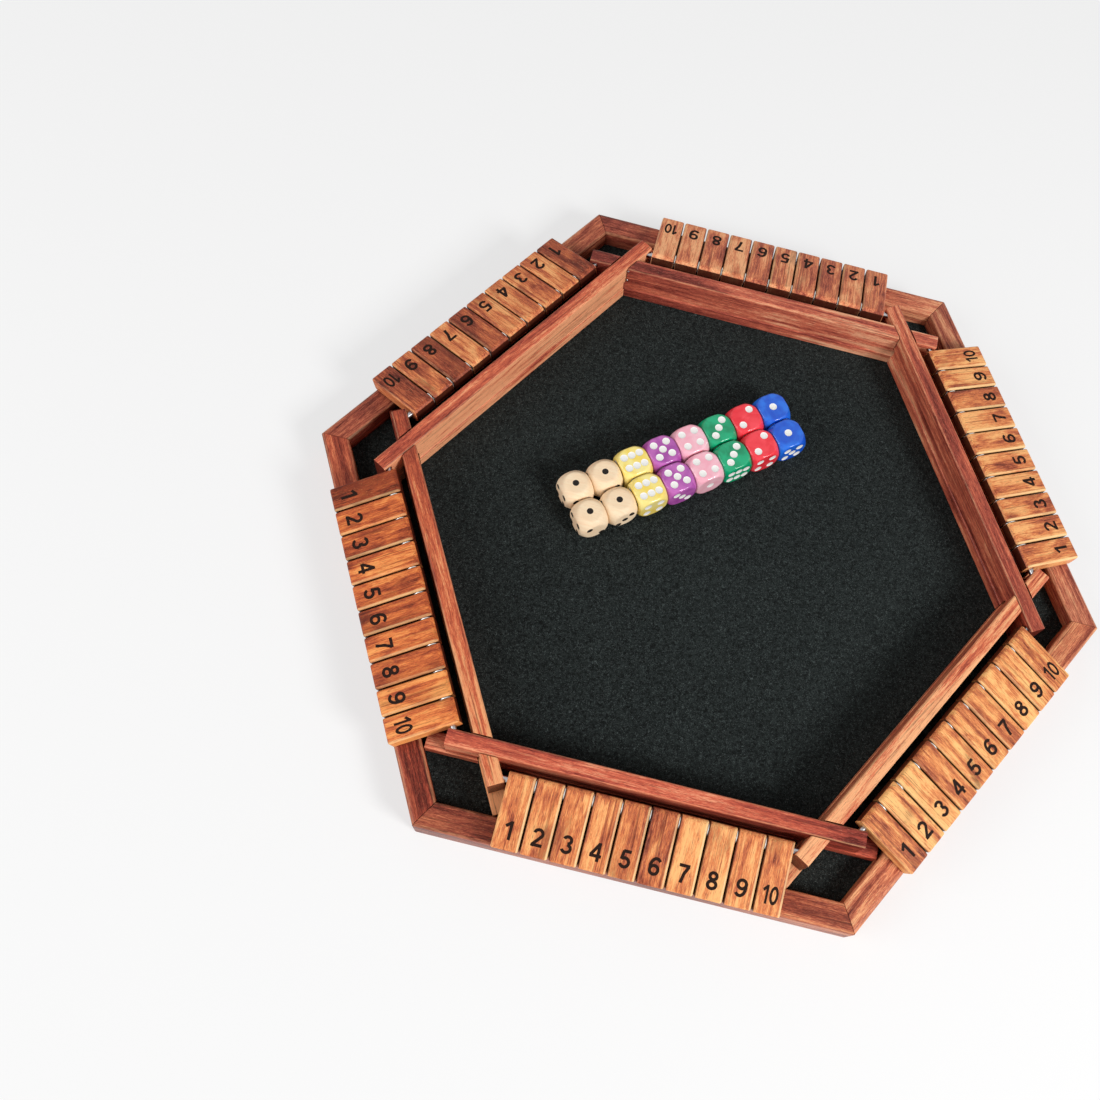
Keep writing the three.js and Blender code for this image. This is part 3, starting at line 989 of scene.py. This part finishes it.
# Of each face: the way it looks, and the way its pips are counted first
face_axes = {value: (Vector(outward), Vector(first)) for value, outward, first in (
    (1, (0, 0, 1), (1, 0, 0)), (6, (0, 0, -1), (1, 0, 0)), (2, (0, -1, 0), (0, 0, 1)),
    (5, (0, 1, 0), (1, 0, 0)), (3, (1, 0, 0), (0, 1, 0)), (4, (-1, 0, 0), (0, 1, 0)))}
die_columns = [
    # colour, top, face towards the near side
    ("natural_a", 1, 2), ("natural_b", 1, 3), ("yellow", 6, 4), ("purple", 5, 3),
    ("pink", 4, 1), ("green", 3, 6), ("red", 2, 4), ("blue", 1, 5),
]
die_turn = math.radians(38.7)
die_colours = {
    "yellow": ("#fbdb5e", "#ffee98"), "purple": ("#a64aa4", "#c66abc"), "pink": ("#faafc0", "#fecbd6"),
    "green": ("#00895b", "#0faf7a"), "red": ("#ee2636", "#ff4a56"), "blue": ("#1051cc", "#2577ea"),
}

# Rounds a cube's edges, draws the points that stand outside the ball in to it, and takes out the pips
die_tree, start, given = new_tree("drilled_die", [
    ("Size", "Float"), ("Ball Radius", "Float"), ("Blend", "Float"), ("Edge Radius", "Float"),
    ("Cuts", "Int"), ("Pip Radius", "Float"), ("Pip Depth", "Float"), ("Body", "Material"),
    ("Paint", "Material")])
cube = start.node("GeometryNodeMeshCube", {
    "Size": given["Size"], **{f"Vertices {axis}": given["Cuts"] for axis in "XYZ"}}, "Mesh")
spot = start.node("GeometryNodeInputPosition")
half_size = given["Size"] * 0.5
crowded = start.combine("SINE", spot * (math.pi / 2) / half_size) * half_size
core = half_size - given["Edge Radius"]
inside = start.combine("MAXIMUM", start.combine("MINIMUM", crowded, core), core * -1.0)
outward = start.combine("NORMALIZE", crowded - inside)
rounded = start.node("GeometryNodeSetPosition", {
    "Geometry": cube, "Position": inside + outward * given["Edge Radius"]})
from_centre = start.node("ShaderNodeVectorMath", {0: spot}, "Value", operation="LENGTH")
drawn_in = start.combine("SMOOTH_MIN", from_centre, given["Ball Radius"], given["Blend"])
turned = start.node("GeometryNodeSetPosition", {
    "Geometry": rounded, "Position": spot * (drawn_in / from_centre)})
turned = start.node("GeometryNodeSetMaterial", {"Geometry": turned, "Material": given["Body"]})
bowl = start.node("GeometryNodeTransform", {
    "Geometry": start.node("GeometryNodeMeshUVSphere", {
        "Segments": pip_sides, "Rings": pip_rings, "Radius": given["Pip Radius"]}, "Mesh"),
    "Scale": vector(start, X=1.0, Y=1.0, Z=given["Pip Depth"] / given["Pip Radius"]),
})
aim = start.node("GeometryNodeInputNamedAttribute", {"Name": "outward"}, "Attribute",
                 data_type="FLOAT_VECTOR")
bowls = planted(start, given["Paint"], {
    "Points": given["Geometry"], "Instance": bowl,
    "Rotation": start.node("FunctionNodeAlignRotationToVector", {"Vector": aim}, axis="Z"),
})
start.node("NodeGroupOutput", {"Geometry": start.node(
    "GeometryNodeMeshBoolean", {"Mesh 1": turned, "Mesh 2": bowls}, "Mesh",
    operation="DIFFERENCE", solver="EXACT")})


def pip_points():
    """A point in the die's surface for the middle of each pip, with the way that it faces."""
    points, ways = [], []
    for value, (outward_axis, first_axis) in face_axes.items():
        second_axis = outward_axis.cross(first_axis)
        for across, along in pip_patterns[value]:
            points.append(outward_axis * (die_half + pip_lift)
                          + first_axis * across * pip_spread + second_axis * along * pip_spread)
            ways.append(outward_axis)
    mesh = plain_mesh("pip_points", points)
    mark(mesh, "outward", ways, "FLOAT_VECTOR")
    return mesh


def pip_paint(name, dark, light):
    material, tree = new_finish(name)
    grit = noise(tree, 1800)
    coat(tree, {
        "Base Color": grit.mixed(dark, light),
        "Roughness": 0.4 + grit * 0.2,
        "Specular IOR Level": 0.2,
    })
    return material


def moulded(name, deep, bright):
    material, tree = new_finish(name)
    swirl = noise(tree, 120, 3, Distortion=0.8)
    skin = noise(tree, 700)
    coat(tree, {
        "Base Color": swirl.above(0.3, 0.7).mixed(deep, bright),
        "Roughness": 0.16 + skin * 0.1,
        "Specular IOR Level": 0.3,
        "Coat Weight": 0.4,
        "Normal": bump(skin, 0.06, 0.1 * MM),
    })
    return material


def facing(top, near):
    """The turn that brings one face up and another towards the near side."""
    up_axis, near_axis = face_axes[top][0], face_axes[near][0]
    return Matrix((up_axis.cross(near_axis), -near_axis, up_axis)).to_4x4()


white_pips = pip_paint("white_pips", "#eceae6", "#fbfaf7")
black_pips = pip_paint("black_pips", "#0c0a09", "#241c17")
maple_finish, tree = new_finish("bare_maple")
ring = noise(tree, (90, 1500, 500), 3, Distortion=0.4)
fleck = noise(tree, (500, 3500, 3500))
warm = noise(tree, 60)
base = (ring * 0.9 + (warm - 0.5) * 0.9 + 0.1).mixed("#f6cda3", "#ffefcf")
coat(tree, {
    "Base Color": (fleck.above(0.6, 0.74) * 0.25).mixed(base, "#b98656"),
    "Roughness": 0.5,
    "Specular IOR Level": 0.25,
    "Normal": bump(ring + fleck * 0.4, 0.15, 0.1 * MM),
})
master_dice = {}
for kind, (ball_share, pip_radius) in die_forms.items():
    master_dice[kind] = grown(f"master_{kind}_die", pip_points(), die_tree, {
        "Size": die_size, "Ball Radius": ball_share * die_half, "Blend": ball_blend,
        "Edge Radius": die_edge_radius, "Cuts": die_cuts, "Pip Radius": pip_radius, "Pip Depth": pip_depth,
        "Body": maple_finish, "Paint": black_pips})
    smooth(master_dice[kind].data, die_sharp_degrees)
for colour, top, near in die_columns:
    if colour.startswith("natural"):
        kind, finishes = "wooden", (maple_finish, black_pips)
    else:
        kind, finishes = "plastic", (moulded(f"{colour}_plastic", *die_colours[colour]), white_pips)
    for row in (1, 2):
        node = f"die_{colour}_{row}"
        low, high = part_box(node)
        die_mesh = master_dice[kind].data.copy()
        die_mesh.name = f"dice_{colour}_{row}"
        for index, shown_finish in enumerate(master_dice[kind].data.materials):
            die_mesh.materials[index] = finishes[shown_finish == black_pips]
        die_mesh.transform(Matrix.Translation((low + high) / 2) @ Matrix.Rotation(die_turn, 4, "Z")
                           @ facing(top, near))
        die_piece = shown(die_mesh.name, die_mesh)
        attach(die_piece, node)
        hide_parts(node)
for used in master_dice.values():
    bpy.data.objects.remove(used)

# The studio: a pale floor, a soft lamp over the near right side, a wider weak one at the near left, and a
# white room that only the camera and the reflections see at full strength.
floor_half = 3.0
floor_glow_share = 0.62
room_strength = 0.25
lamps = [
    # name, place, size, watts
    ("key", Vector((1.183, -0.683, 1.029)), 0.5, 23),
    ("fill", Vector((-1.175, -0.678, 0.848)), 1.2, 13),
]
floor = shown("floor", plain_mesh(
    "floor", [(x * floor_half, y * floor_half, 0) for x, y in ((-1, -1), (1, -1), (1, 1), (-1, 1))],
    [(0, 1, 2, 3)]))
floor_finish, tree = new_finish("studio_floor")
paper = tree.node("ShaderNodeBsdfPrincipled", {
    "Base Color": paint("#efefef"), "Roughness": 0.9, "Specular IOR Level": 0.1})
glow = tree.node("ShaderNodeEmission", {"Color": (1, 1, 1, 1)})
to_camera = tree.node("ShaderNodeLightPath", None, "Is Camera Ray") * floor_glow_share
tree.node("ShaderNodeOutputMaterial", {
    "Surface": tree.node("ShaderNodeMixShader", {0: to_camera, 1: paper, 2: glow})})
floor.data.materials.append(floor_finish)

room = bpy.data.worlds.new("room")
bpy.context.scene.world = room
room.use_nodes = True
room.node_tree.nodes.clear()
tree = Wire(room.node_tree)
to_eye, to_gloss, through = (tree.node("ShaderNodeLightPath", None, f"Is {kind} Ray")
                             for kind in ("Camera", "Glossy", "Transmission"))
whole = tree.node("ShaderNodeMath", {0: to_eye, 1: to_gloss + through}, operation="ADD", use_clamp=True)
sky = tree.node("ShaderNodeBackground", {
    "Color": (1, 1, 1, 1), "Strength": room_strength + whole * (1 - room_strength)})
tree.node("ShaderNodeOutputWorld", {"Surface": sky})

for lamp_name, lamp_place, lamp_size, watts in lamps:
    light = bpy.data.lights.new(lamp_name, "AREA")
    light.size = lamp_size
    light.energy = watts
    aim = (-lamp_place).to_track_quat("-Z", "Y").to_matrix().to_4x4()
    shown(lamp_name, light).matrix_world = Matrix.Translation(lamp_place) @ aim

bpy.context.scene.view_settings.view_transform = "Standard"
